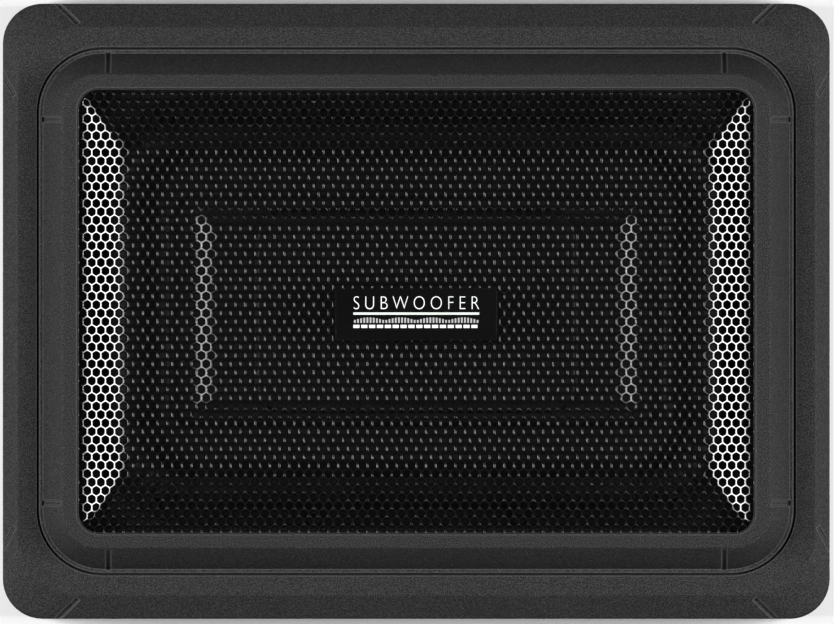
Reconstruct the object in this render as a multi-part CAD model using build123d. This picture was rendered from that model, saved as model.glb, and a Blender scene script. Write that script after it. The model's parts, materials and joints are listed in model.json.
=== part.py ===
from build123d import *
import math
import os

# Powered under-seat car subwoofer: a die-cast tub with a flat rectangular woofer firing up
# through a stepped hexagon-mesh grille, and the amplifier on the floor at one end.
# X is the long side, Y the short side, Z up.  The origin is under the centre, on the floor.
# An outline is (width, depth, corner radius, height).

# ---- driving dimensions (mm) ----
foot_height = 3.0
base_outline = (340.0, 253.0, 16.4, foot_height)       # upright wall
shoulder_height = 48.0                                 # the wall leans in above this
deck_outline = (328.4, 233.4, 25.5, 54.0)              # upper edge of the leaning wall
wall = 3.0
deck_underside = 49.0
ledge_low = 6.0                                        # ledge inside the wall, over the bottom gasket
ledge_high = 8.0
rebate_floor = 52.0                                    # where the trim frame and gasket lie

frame_outer = (310.1, 215.4, 26.0, 54.6)               # lip of the trim frame
frame_foot = (306.7, 211.9, 24.4, 54.6)                # foot of its slope
frame_ring = (290.7, 194.3, 14.0, 66.5)                # top edge of its slope
grille_opening = (277.1, 181.8, 8.2, 66.5)
frame_wall = 2.4
frame_gap = 0.6                                        # between the trim frame and its recess in the deck
channel_width = 2.4                                    # of the shallow channels near the corners
channel_floor = 1.5
channel_depth = 0.6
shoulder_channels = ((147.6, 97.6), (137.4, 86.9))     # (x on long walls, y on short walls), low and high
frame_channels = (126.5, 78.8)
deck_edge_radius = 1.5
shoulder_radius = 2.0
frame_edge_radius = 1.2
edge_chamfer = 0.4

mesh_thickness = 1.0
mesh_edge = (276.0, 180.0, 8.2, 64.2)                  # where the pressed slope starts
mesh_plateau = (237.2, 133.2, 2.0, 71.5)
mesh_step_foot = (183.2, 86.0, 5.7, 71.5)
mesh_step_top = (165.6, 72.2, 2.0, 74.5)
badge_pad_foot = (72.6, 25.8, 1.5, 74.5)
badge_pad_top = (68.6, 22.4, 1.0, 75.1)
mesh_rim = (283.0, 188.0, 10.5, 64.2)
badge_size = (66.4, 21.4, 1.3)
badge_y = -1.15

plate_thickness = 2.0
gasket_thickness = 1.0
plate_outline = (332.4, 245.2, 13.0, foot_height)

# woofer
flange_outline = (255.0, 176.0, 37.0, 53.0)
flange_thickness = 2.0
flange_window = (221.0, 133.0, 20.5, 53.0)
cutout_outline = (229.0, 153.0, 27.0, rebate_floor)
roll_centre = (234.0, 146.0, 27.0, 56.0)               # centre line of the surround's half roll
roll_radius = 6.5
rubber = 1.0
diaphragm_edge = (218.4, 130.4, 18.7, 55.0)
diaphragm_land = 3.0                                   # flat rim that the surround is glued to
diaphragm_shelf = (203.4, 95.2, 10.0, 53.9)            # foot of the gentle slope, top of the steep one
diaphragm_floor = (198.8, 91.2, 8.0, 50.5)
diaphragm_thickness = 1.2
centre_foot = (133.0, 84.0, 12.0, 50.5)
centre_top = (130.0, 81.0, 10.5, 53.0)
coil_radius = 25.7
coil_bottom = 18.5
coil_top = 44.0

# amplifier
board_top = 9.6
board_thickness = 1.6
transistor_places = [80.0 + 12.0 * i for i in range(6)]
toroid_place = (96.0, -36.0)
inductor_place = (112.0, 22.0)
capacitor_places = ((76.0, 35.0), (76.0, 52.0), (93.0, 35.0), (93.0, 52.0), (128.0, -60.0))
chip_corners = ((128.0, 40.0, 14.0, 10.0), (126.0, -30.0, 10.0, 6.0), (130.0, 4.0, 10.0, 6.0))

# end bay: sockets are (low, high) ranges along Y and Z
panel_outer = 160.0                                    # outer face of the end panel, along X
panel_thickness = 1.5
bay_half = 78.0
bay_low = 9.0
bay_high = 37.0
knob_places = {"level_knob": 23.0, "lowpass_knob": 36.5, "bass_boost_knob": 50.0}
switch_places = {"phase_slider": 27.0, "mode_slider": 44.0}
knob_height = 17.5
switch_height = 29.5
switch_travel = 3.0
jack_places = (15.0, 28.5)
jack_y = 9.5
jack_radius = 4.15
jack_shoulder = panel_outer + 0.6                      # the plug's shell stops here
jack_end = 166.4
jack_y_range = (3.5, 15.5)
jack_z_range = (board_top, 33.2)
socket_face = 163.0
power_y, power_z = (-69.0, -45.0), (board_top, 27.6)
fuse_y, fuse_z = (-42.0, -20.0), (board_top, 24.0)
level_y, level_z = (-17.0, 1.0), (board_top, 21.6)
remote_y, remote_z = (59.0, 71.0), (board_top, 21.6)
led_place = (60.0, switch_height)


def corners(*spacings):
    """The four corners of each (width, depth) rectangle centred on the origin."""
    return [(sx * width / 2, sy * depth / 2) for width, depth in spacings for sx in (-1, 1) for sy in (-1, 1)]


# fasteners
deck_screw_places = corners((294.6, 80.0), (110.0, 199.8))
plate_screw_places = corners((90.0, 234.0), (270.0, 234.0)) + [(-161.0, -60.0), (-161.0, 60.0)]
flange_screw_places = corners((218.4, 158.4), (84.0, 168.8))
mesh_screw_places = corners((280.6, 120.0), (140.0, 185.6))
bracket_places = corners((200.0, 204.0))
foot_places = corners((290.0, 200.0))
standoff_places = [(70.0, -72.0), (70.0, 72.0), (136.0, -72.0), (136.0, 72.0)]
bar_screw_places = [(82.0, 83.0), (110.0, 83.0), (138.0, 83.0)]
panel_screw_places = [(y, z) for y in (-74.7, 74.7) for z in (13.0, 33.0)]


# ---- shared shapes ----
def section(outline):
    """Flat rounded rectangle at its own height."""
    width, depth, radius, height = outline
    return Pos(0, 0, height) * RectangleRounded(width, depth, radius)


def between(low, high):
    """Straight-sided body from one rounded rectangle to another."""
    return loft([section(low).face(), section(high).face()], ruled=True)


def upright(outline, top):
    """Block with the outline's rounded corners, from its height up to top."""
    return extrude(section(outline), amount=top - outline[3])


def grown(outline, amount):
    width, depth, radius, height = outline
    return (width + 2 * amount, depth + 2 * amount, radius + amount, height)


def raised(outline, amount):
    return (*outline[:3], outline[3] + amount)


def at_height(outline, height):
    return (*outline[:3], height)


def block(x_range, y_range, z_range):
    """Square-edged block between two corners."""
    (x0, x1), (y0, y1), (z0, z1) = x_range, y_range, z_range
    size = Box(x1 - x0, y1 - y0, z1 - z0, align=(Align.MIN, Align.MIN, Align.MIN))
    return Pos(x0, y0, z0) * size


def post(radius, x, y, bottom, top):
    """Upright round post."""
    disc = Cylinder(radius, top - bottom, align=(Align.CENTER, Align.CENTER, Align.MIN))
    return Pos(x, y, bottom) * disc


def spindle(radius, x_range, y, z):
    """Round bar along X."""
    start, end = x_range
    bar = Cylinder(radius, end - start, align=(Align.CENTER, Align.CENTER, Align.MIN))
    return Pos(start, y, z) * Rot(0, 90, 0) * bar


def ring(outer, inner, bottom, top, x=0.0, y=0.0):
    """Upright round ring."""
    return post(outer, x, y, bottom, top) - post(inner, x, y, bottom - 1, top + 1)


def cone_shell(low, high, thickness):
    """Thin conical wall between two (radius, height) circles."""
    (r0, z0), (r1, z1) = low, high
    height = z1 - z0
    outside = Cone(r0 + thickness, r1 + thickness, height)
    inside = Cone(r0, r1, height)
    return Pos(0, 0, (z0 + z1) / 2) * (outside - inside)


def screw(x, y, head_z, tip_z, shank, head, head_height):
    """Pan-head screw; the head stands away from the tip."""
    away = 1 if head_z > tip_z else -1
    top = head_z + away * head_height
    body = post(shank, x, y, min(head_z, tip_z), max(head_z, tip_z))
    cap = post(head, x, y, min(head_z, top), max(head_z, top))
    drive = post(head * 0.42, x, y, min(top, top - away * 1.0), max(top, top - away * 1.0))
    return body + cap - drive


def edges_at(shape, height):
    """Every edge lying at one height."""
    return shape.edges().filter_by_position(Axis.Z, height - 0.01, height + 0.01)


def lean(outline_low, outline_high, axis, height):
    """Half width (axis 0) or half depth (axis 1) of a sloping wall at a height."""
    low = outline_low[axis] / 2
    high = outline_high[axis] / 2
    share = (height - outline_low[3]) / (outline_high[3] - outline_low[3])
    return low + (high - low) * share


def channel(start, end, across):
    """Bar along a wall from start to end, which cuts a shallow flat-floored channel into it."""
    path = Vector(*end) - Vector(*start)
    plane = Plane(origin=start, x_dir=across, z_dir=path)
    rim, floor, depth = channel_width / 2, channel_floor / 2, channel_depth
    profile = Polygon((-rim, 0), (-floor, -depth), (floor, -depth), (rim, 0), (floor, depth), (-floor, depth),
                      align=None)
    return extrude(plane * profile, amount=path.length)


def corner_channels(low, high, low_places, high_places, overrun, reach):
    """Two channels near each corner of a four-sided slope, from a little below its foot to near its top.

    low_places and high_places are (x on the long walls, y on the short walls) at the slope's two edges."""
    cuts = []
    for end, side in ((-1, -1), (-1, 1), (1, -1), (1, 1)):
        on_long_wall = (Vector(end * low_places[0], side * low[1] / 2, low[3]),
                        Vector(end * high_places[0], side * high[1] / 2, high[3]), (1, 0, 0))
        on_short_wall = (Vector(end * low[0] / 2, side * low_places[1], low[3]),
                         Vector(end * high[0] / 2, side * high_places[1], high[3]), (0, 1, 0))
        for foot, top, across in (on_long_wall, on_short_wall):
            run = top - foot
            cuts.append(channel(tuple(foot - run * overrun), tuple(foot + run * reach), across))
    return cuts


# ---- enclosure ----
def make_upper_housing():
    """Tub: upright wall, sloping shoulder, deck with the woofer's hole, and the hollow end bay."""
    shoulder_outline = at_height(base_outline, shoulder_height)
    outside = upright(base_outline, shoulder_height) + between(shoulder_outline, deck_outline)
    outside = fillet(outside.faces().sort_by(Axis.Z)[-1].edges(), deck_edge_radius)
    outside = fillet(edges_at(outside, shoulder_height), shoulder_radius)

    inner_base = grown(base_outline, -wall)
    inner_shoulder = at_height(inner_base, shoulder_height - wall / 2)
    inner_deck = grown(deck_outline, -wall)
    inner_top = (
        2 * lean(inner_shoulder, inner_deck, 0, deck_underside),
        2 * lean(inner_shoulder, inner_deck, 1, deck_underside),
        inner_deck[2] - 1.0,
        deck_underside,
    )
    cavity = upright(inner_base, inner_shoulder[3]) + between(inner_shoulder, inner_top)
    ledge = upright(at_height(inner_base, ledge_low), ledge_high)
    ledge -= upright(at_height(grown(inner_base, -6.0), ledge_low - 1), ledge_high + 1)
    posts = [post(4.2, x, y, ledge_low, 20.0) for x, y in plate_screw_places]
    bay_walls = block((155.5, 172.0), (-bay_half - wall, bay_half + wall), (ledge_low, bay_high + wall))
    housing = outside - cavity + ((ledge + posts + bay_walls) & outside)

    rebate = grown(frame_outer, frame_gap)
    rebate_edge = at_height(rebate, deck_outline[3] - edge_chamfer)
    housing -= upright(at_height(cutout_outline, deck_underside - 1), 60.0)
    housing -= upright(at_height(rebate, rebate_floor), 60.0)
    housing -= between(rebate_edge, raised(grown(rebate_edge, edge_chamfer), edge_chamfer))
    window = block((158.5, 175.0), (-bay_half, bay_half), (bay_low, bay_high))
    passage = block((150.0, 160.0), (-71.5, 71.5), (bay_low, 33.5))
    housing -= [window, passage]
    housing -= [post(1.35, x, y, ledge_low - 1, 18.0) for x, y in plate_screw_places]
    housing -= [post(1.9, x, y, deck_underside - 1, 53.0) for x, y in flange_screw_places]
    housing -= [post(2.0, x, y, deck_underside - 1, 53.0) for x, y in deck_screw_places]
    housing -= [spindle(1.35, (150.0, 160.0), y, z) for y, z in panel_screw_places]
    housing -= corner_channels(shoulder_outline, deck_outline, *shoulder_channels, overrun=0.08, reach=0.84)
    return housing


def make_bottom_plate():
    plate = upright(plate_outline, foot_height + plate_thickness)
    plate -= [post(1.8, x, y, 0, 10) for x, y in plate_screw_places]
    plate -= [post(3.55, x, y, 0, 10) for x, y in bracket_places]
    plate -= [post(1.6, x, y, 0, 10) for x, y in standoff_places]
    plate -= [post(1.6, x, y, 0, 10) for x, y in bar_screw_places]
    return plate


def make_bottom_gasket():
    low = foot_height + plate_thickness
    seal = upright(at_height(grown(plate_outline, -0.3), low), low + gasket_thickness)
    seal -= upright(at_height(grown(plate_outline, -6.0), low - 1), low + 2)
    seal -= [post(4.3, x, y, 0, 10) for x, y in plate_screw_places]
    return seal


def make_rubber_feet():
    feet = []
    for x, y in foot_places:
        foot = post(10.0, x, y, 0.0, foot_height)
        feet.append(chamfer(foot.edges().sort_by(Axis.Z)[0], 0.8))
    return feet


def make_bracket_nuts():
    plate_top = foot_height + plate_thickness
    nuts = []
    for x, y in bracket_places:
        nut = post(3.45, x, y, foot_height, plate_top) + post(5.0, x, y, plate_top, plate_top + 4.0)
        nuts.append(nut - post(2.5, x, y, 0, 20))
    return nuts


def make_grille_frame():
    lip = upright(at_height(frame_outer, rebate_floor), frame_outer[3])
    lip = chamfer(lip.faces().sort_by(Axis.Z)[-1].edges(), edge_chamfer)
    slope = between(frame_foot, frame_ring)
    slope = fillet(slope.faces().sort_by(Axis.Z)[-1].edges(), frame_edge_radius)
    body = lip + slope
    under_low = at_height(grown(frame_foot, -frame_wall), rebate_floor)
    under_high = (*grown(frame_ring, -frame_wall)[:3], mesh_edge[3])
    hollow = between(under_low, under_high)
    bosses = [post(3.6, x, y, rebate_floor, 59.0) for x, y in deck_screw_places]
    body = body - hollow + (Part() + bosses & body)
    body -= upright(at_height(grille_opening, rebate_floor), 70.0)
    flare = 2 * edge_chamfer
    body -= between(raised(grille_opening, -flare), grown(grille_opening, flare))
    body -= [post(1.25, x, y, rebate_floor - 1, 57.5) for x, y in deck_screw_places]
    body -= [post(0.95, x, y, mesh_edge[3] - 1, 65.8) for x, y in mesh_screw_places]
    body -= corner_channels(frame_foot, frame_ring, frame_channels, frame_channels, overrun=0.02, reach=0.93)
    return body


def make_grille_mesh():
    rim = upright(raised(mesh_rim, -mesh_thickness), mesh_rim[3])
    top = between(mesh_edge, mesh_plateau) + between(mesh_step_foot, mesh_step_top)
    top += Pos(0, badge_y, 0) * between(badge_pad_foot, badge_pad_top)
    under = Pos(0, 0, -mesh_thickness) * top
    sheet = rim + top - under
    sheet -= [post(1.1, x, y, 60, 70) for x, y in mesh_screw_places]
    sheet -= [post(1.3, x, badge_y, 60, 80) for x in (-26.0, 26.0)]
    return sheet


def make_mesh_retainer():
    top = mesh_rim[3] - mesh_thickness
    band = upright(at_height(grown(mesh_rim, 0.2), top - 2.0), top)
    band -= upright(at_height(grown(grille_opening, 0.6), top - 3.0), top + 1)
    band -= [post(1.1, x, y, 50, 70) for x, y in mesh_screw_places]
    return band


def make_badge_plate():
    width, depth, thickness = badge_size
    low = badge_pad_top[3]
    plate = upright((width, depth, 1.0, low), low + thickness)
    plate = chamfer(plate.faces().sort_by(Axis.Z)[-1].edges(), 0.4)
    plate += [post(1.15, x, 0, low - 3.0, low) for x in (-26.0, 26.0)]
    return Pos(0, badge_y, 0) * plate


# ---- woofer ----
def make_driver_basket():
    upper = flange_outline[3]
    flange = upright(flange_outline, upper + flange_thickness)
    flange -= upright(at_height(flange_window, upper - 1), upper + 5)
    waist = (217.0, 141.0, 24.0, 42.0)
    throat = (114.0, 114.0, 56.5, 32.0)
    rim = (225.0, 149.0, 25.0, upper)
    skin = 1.5
    wall_shape = between(waist, rim) + between(throat, waist)
    thin = (between(grown(waist, -skin), at_height(grown(rim, -skin), upper + 0.01))
            + between(at_height(grown(throat, -skin), 32.0), grown(waist, -skin)))
    shell = wall_shape - thin
    windows = [block((60.0, 106.0), (-30.0, 30.0), (25.0, 41.0)),
               block((-106.0, -60.0), (-30.0, 30.0), (25.0, 41.0)),
               block((-36.0, 36.0), (59.0, 69.0), (25.0, 41.0)),
               block((-36.0, 36.0), (-69.0, -59.0), (25.0, 41.0))]
    shell -= windows
    floor_ring = ring(57.0, 30.0, 30.0, 32.0)
    shelf = ring(55.5, 50.0, 32.0, 37.0)
    tab = block((55.0, 67.0), (-9.0, 9.0), (30.0, 31.5))
    basket = flange + shell + floor_ring + shelf + tab
    basket -= [post(2.1, x, y, 50, 60) for x, y in flange_screw_places]
    return basket


def make_driver_gasket():
    seal = upright(at_height(grown(flange_outline, -1.0), rebate_floor), flange_outline[3])
    seal -= upright(at_height(grown(cutout_outline, 0.5), rebate_floor - 1), 60)
    seal -= [post(2.3, x, y, 50, 60) for x, y in flange_screw_places]
    return seal


def make_surround():
    """Half roll of rubber with a flat land on each side."""
    height = roll_centre[3]
    half = roll_centre[0] / 2
    outer = Circle(roll_radius + rubber / 2) - Circle(roll_radius - rubber / 2)
    outer &= Pos(0, roll_radius) * Rectangle(4 * roll_radius, 2 * roll_radius)
    lands = Pos(roll_radius + 0.5, 0) * Rectangle(2.0, rubber)
    lands += Pos(-roll_radius - 2.1, 0) * Rectangle(5.2, rubber)
    profile = outer + lands
    path = section(roll_centre).face().outer_wire()
    plane = Plane(origin=(half, 0, height), x_dir=(1, 0, 0), z_dir=(0, -1, 0))
    return Pos(0, 0, -rubber / 2) * sweep(plane * profile, path=path)


def make_diaphragm():
    """Stiff rectangular tray: flat rim, gentle slope, short steep wall and flat floor."""
    thickness = diaphragm_thickness
    shelf_under = raised(grown(diaphragm_shelf, 0.5), -thickness)
    floor_under = raised(grown(diaphragm_floor, 0.5), -thickness)
    rim_under = raised(diaphragm_edge, -thickness)
    body = between(floor_under, shelf_under) + between(shelf_under, rim_under)
    body += upright(rim_under, diaphragm_edge[3])
    dish = between(diaphragm_shelf, grown(diaphragm_edge, -diaphragm_land))
    dish += between(diaphragm_floor, diaphragm_shelf)
    body -= dish
    body = fillet(edges_at(body, diaphragm_shelf[3]), 0.8)
    coil_opening = post(30.0, 0, 0, 40, 52)
    body -= coil_opening
    return body


def make_centre_plate():
    """Shallow raised panel glued to the middle of the diaphragm."""
    shell = between(centre_foot, centre_top)
    shell = fillet(shell.faces().sort_by(Axis.Z)[-1].edges(), 1.0)
    shell -= between(grown(centre_foot, -1.0), (*grown(centre_top, -1.0)[:3], centre_top[3] - 0.8))
    return shell


def make_drive_cone():
    low = (coil_radius + 0.05, 40.5)
    high = (39.0, diaphragm_floor[3] - diaphragm_thickness)
    return cone_shell(low, high, 0.9)


def make_spider():
    """Corrugated cloth disc between the coil former and the basket's shelf."""
    inner, outer, height = coil_radius + 0.1, 54.5, 37.0
    waves = 5
    steps = 60
    points = []
    for step in range(steps + 1):
        radius = inner + 2.0 + (outer - inner - 7.0) * step / steps
        swing = 0.9 * math.sin(2 * math.pi * waves * step / steps)
        points.append((radius, height + 0.9 + swing))
    upper = Spline([(inner, height + 0.9)] + points + [(outer, height + 0.9)])
    lower = Pos(0, -0.5) * upper
    start = Line(upper @ 0, lower @ 0)
    finish = Line(upper @ 1, lower @ 1)
    profile = make_face([upper, lower, start, finish])
    return revolve(Plane.XZ * profile, Axis.Z)


def make_magnet_parts():
    yoke = post(48.0, 0, 0, 8.0, 13.0) + post(24.9, 0, 0, 13.0, 30.0)
    yoke -= post(7.0, 0, 0, 0, 40)
    yoke = chamfer(yoke.edges().filter_by(GeomType.CIRCLE).sort_by(Axis.Z)[0], 1.0)
    return {
        "t_yoke": yoke,
        "magnet": ring(50.0, 31.0, 13.0, 25.0),
        "top_plate": ring(45.0, 27.3, 25.0, 30.0),
    }


def make_terminal_strip():
    strip = block((60.0, 66.0), (-8.0, 8.0), (31.5, 33.1))
    for side in (-1, 1):
        strip += block((61.5, 66.8), (side * 5 - 1.5, side * 5 + 1.5), (33.1, 33.7))
    return strip


def wire(points, radius, bend):
    """Round lead along straight runs joined by arcs."""
    path = FilletPolyline(*points, radius=bend)
    start = Plane(origin=path @ 0, z_dir=path % 0)
    return sweep(start * Circle(radius), path=path)


def make_tinsel_leads():
    leads = []
    for side in (-1, 1):
        y = side * 5.0
        points = [(62.2, y, 34.3), (55.5, y, 40.6), (47.0, y, 41.0), (38.6, y, 45.6)]
        leads.append(wire(points, 0.55, 5.0))
    return leads


def make_speaker_wire(side):
    """Lead from the amplifier board up to the terminal strip."""
    y = side * 5.0
    points = [
        (70.0, y + 12.0, board_top),
        (70.0, y + 12.0, 20.0),
        (70.0, y + 4.0, 27.5),
        (70.0, y, 34.8),
        (63.5, y, 34.8),
    ]
    return wire(points, 1.0, 2.4)


# ---- amplifier ----
def make_main_pcb():
    board = block((64.0, 154.5), (-76.0, 76.0), (board_top - board_thickness, board_top))
    board -= [post(1.6, x, y, 0, 20) for x, y in standoff_places]
    return board


def make_standoffs():
    low = foot_height + plate_thickness
    high = board_top - board_thickness
    return [ring(3.0, 1.35, low, high, x, y) for x, y in standoff_places]


def make_pcb_screws():
    """Screws from below through the plate for the board, and for the heat-sink bar."""
    screws = [screw(x, y, foot_height, 11.5, 1.3, 2.6, 1.4) for x, y in standoff_places]
    screws += [screw(x, y, foot_height, 14.0, 1.3, 2.6, 1.4) for x, y in bar_screw_places]
    return screws


def make_heat_sink_bar():
    bar = block((72.0, 148.0), (79.0, 87.0), (5.0, 33.0))
    bar -= [post(1.35, x, y, 0, 16.0) for x, y in bar_screw_places]
    bar -= [block((71.0, 149.0), (84.5, 88.0), (z, z + 2.0)) for z in (17.0, 22.0, 27.0)]
    return bar


def make_power_transistors():
    parts = []
    for x in transistor_places:
        body = block((x - 5.0, x + 5.0), (74.6, 79.0), (14.0, 23.0))
        tab = block((x - 5.0, x + 5.0), (77.7, 79.0), (23.0, 29.5))
        legs = [block((x + o - 0.4, x + o + 0.4), (75.2, 75.8), (board_top, 14.0)) for o in (-2.54, 0, 2.54)]
        parts.append(body + tab + legs)
    return parts


def make_transistor_clamp():
    return block((74.0, 146.0), (73.2, 74.6), (16.5, 20.5))


def make_toroid():
    x, y = toroid_place
    low, high = board_top + 2.6, board_top + 14.6
    core = ring(14.0, 8.0, low, high, x, y)
    loops = []
    turns = 20
    for turn in range(turns):
        frame = Box(9.4, 1.3, 15.4) - Box(6.8, 3.0, 12.8)
        placed = Pos(x, y, (low + high) / 2) * Rot(0, 0, 360 * turn / turns) * Pos(11.0, 0, 0) * frame
        loops.append(placed)
    return core, loops


def make_capacitors():
    cans = []
    for x, y in capacitor_places:
        can = post(7.5, x, y, board_top, board_top + 18.0)
        can = fillet(can.edges().sort_by(Axis.Z)[-1], 0.8)
        groove = ring(9.0, 7.0, board_top + 2.0, board_top + 3.2, x, y)
        cans.append(can - groove)
    return cans


def make_inductor():
    x, y = inductor_place
    core = post(11.0, x, y, board_top, board_top + 2.5) + post(6.0, x, y, board_top + 2.5, board_top + 13.5)
    core += post(11.0, x, y, board_top + 13.5, board_top + 16.0)
    coil = ring(9.6, 6.1, board_top + 2.6, board_top + 13.4, x, y)
    turns = 9
    pitch = 10.8 / turns
    for turn in range(1, turns):
        z = board_top + 2.6 + pitch * turn
        coil -= ring(11.0, 9.2, z - 0.15, z + 0.15, x, y)
    return core, coil


def make_chips():
    chips = []
    for x, y, width, depth in chip_corners:
        chips.append(block((x, x + width), (y, y + depth), (board_top, board_top + 2.4)))
    return chips


# ---- end bay: sockets and controls ----
def socket_shell(y_range, z_range, x_range, rim, depth):
    """Socket body with one open mouth facing out along X."""
    body = block(x_range, y_range, z_range)
    mouth = block((x_range[1] - depth, x_range[1] + 1),
                  (y_range[0] + rim, y_range[1] - rim),
                  (z_range[0] + rim, z_range[1] - rim))
    return body - mouth


def make_sockets():
    power = socket_shell(power_y, power_z, (143.0, socket_face), 1.6, 14.0)
    level = socket_shell(level_y, level_z, (146.0, socket_face), 1.5, 12.0)
    remote = socket_shell(remote_y, remote_z, (146.0, 162.0), 1.4, 12.0)
    remote -= block((155.0, 164.0), (63.0, 67.0), (9.0, 12.0))
    return power, level, remote


def make_socket_pins():
    """Six power pins and four signal pins, short of the sockets' mouths."""
    pins = []
    power_places = [(y, z) for y in (-63.0, -57.0, -51.0) for z in (14.6, 22.6)]
    level_places = [(y, 15.6) for y in (-13.5, -10.0, -6.0, -2.5)]
    for places, root, half in ((power_places, 149.0, 1.0), (level_places, 151.0, 0.5)):
        for y, z in places:
            pins.append(block((root, 157.0), (y - half, y + half), (z - half, z + half)))
    return pins


def make_fuse_parts():
    holder = socket_shell(fuse_y, fuse_z, (146.0, 161.0), 1.5, 9.0)
    y = (fuse_y[0] + fuse_y[1]) / 2
    z = (fuse_z[0] + fuse_z[1]) / 2
    fuse = block((153.0, 162.0), (y - 9.2, y + 9.2), (z - 2.3, z + 2.3))
    fuse += block((162.0, 164.5), (y - 9.2, y + 9.2), (z - 1.8, z + 1.8))
    for side in (-1, 1):
        fuse += block((152.0, 153.0), (y + side * 6.0 - 2.4, y + side * 6.0 + 2.4), (z - 0.4, z + 0.4))
    return holder, fuse


def make_rca_parts():
    block_body = block((142.0, panel_outer - panel_thickness), jack_y_range, jack_z_range)
    block_body -= [spindle(4.3, (154.0, 164.0), jack_y, z) for z in jack_places]
    jacks = []
    for z in jack_places:
        shell = spindle(3.95, (154.0, jack_shoulder), jack_y, z)
        shell += spindle(jack_radius, (jack_shoulder, jack_end), jack_y, z)
        shell -= spindle(3.4, (156.0, 168.0), jack_y, z)
        jacks.append(shell + spindle(1.4, (155.5, 162.0), jack_y, z))
    return block_body, jacks


def make_control_board():
    return block((146.8, 148.4), (17.0, 56.5), (board_top, 33.2))


def make_potentiometers():
    pots = []
    for y in knob_places.values():
        body = block((148.4, 157.8), (y - 5.5, y + 5.5), (knob_height - 6.0, knob_height + 6.0))
        pots.append(body - spindle(3.05, (150.4, 160.0), y, knob_height))
    return pots


def make_knob(y):
    """Fluted cap on a round stem; the pointer notch faces up at rest."""
    stem = spindle(3.0, (151.0, panel_outer + 1.0), y, knob_height)
    cap = spindle(5.6, (panel_outer + 0.6, 165.4), y, knob_height)
    cap = chamfer(cap.edges().filter_by(GeomType.CIRCLE).sort_by(Axis.X)[-1], 0.6)
    flutes = 18
    for flute in range(flutes):
        turn = 2 * math.pi * flute / flutes
        centre = (y + 5.9 * math.cos(turn), knob_height + 5.9 * math.sin(turn))
        cap -= spindle(0.6, (panel_outer, 166.0), *centre)
    notch = block((164.7, 166.0), (y - 0.5, y + 0.5), (knob_height + 1.0, knob_height + 6.0))
    return stem + cap - notch


def make_switch_bodies():
    bodies = []
    for y in switch_places.values():
        body = block((148.4, 156.8), (y - 6.5, y + 6.5), (switch_height - 3.5, switch_height + 3.5))
        slot = block((151.0, 160.0), (y - 3.6, y + 3.6), (switch_height - 1.4, switch_height + 1.4))
        bodies.append(body - slot)
    return bodies


def make_slider(y):
    """Slide button resting at the low-Y end of its slot."""
    rest = y - switch_travel / 2
    foot = block((151.2, 158.0), (rest - 1.9, rest + 1.9), (switch_height - 1.3, switch_height + 1.3))
    button = block((158.0, 163.0), (rest - 1.5, rest + 1.5), (switch_height - 1.3, switch_height + 1.3))
    grips = [block((162.6, 164), (rest + o - 0.2, rest + o + 0.2), (switch_height - 2, switch_height + 2))
             for o in (-0.8, 0.0, 0.8)]
    return foot + button - grips


def make_power_led():
    y, z = led_place
    lens = spindle(1.5, (152.0, 161.0), y, z) + Pos(161.0, y, z) * Sphere(1.5)
    return lens + spindle(1.9, (150.6, 152.0), y, z)


def make_end_panel():
    low, high = panel_outer - panel_thickness, panel_outer
    gap = 0.35
    x = (low - 1, high + 1)
    panel = block((low, high), (-bay_half + 0.3, bay_half - 0.3), (bay_low + 0.3, bay_high - 0.3))
    cuts = []
    for y_range, z_range in ((power_y, power_z), (fuse_y, fuse_z), (level_y, level_z), (remote_y, remote_z)):
        cuts.append(block(x, (y_range[0] - gap, y_range[1] + gap), (z_range[0] - 1.0, z_range[1] + gap)))
    cuts += [spindle(4.4, x, jack_y, z) for z in jack_places]
    cuts += [spindle(3.5, x, y, knob_height) for y in knob_places.values()]
    for y in switch_places.values():
        cuts.append(block(x, (y - 3.6, y + 3.6), (switch_height - 1.7, switch_height + 1.7)))
    cuts.append(spindle(1.7, x, *led_place))
    cuts += [spindle(1.7, x, y, z) for y, z in panel_screw_places]
    return panel - cuts


def make_panel_screws():
    screws = []
    for y, z in panel_screw_places:
        body = spindle(1.3, (156.0, panel_outer), y, z) + spindle(2.8, (panel_outer, 161.8), y, z)
        screws.append(body - spindle(1.1, (160.8, 163.0), y, z))
    return screws


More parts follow.
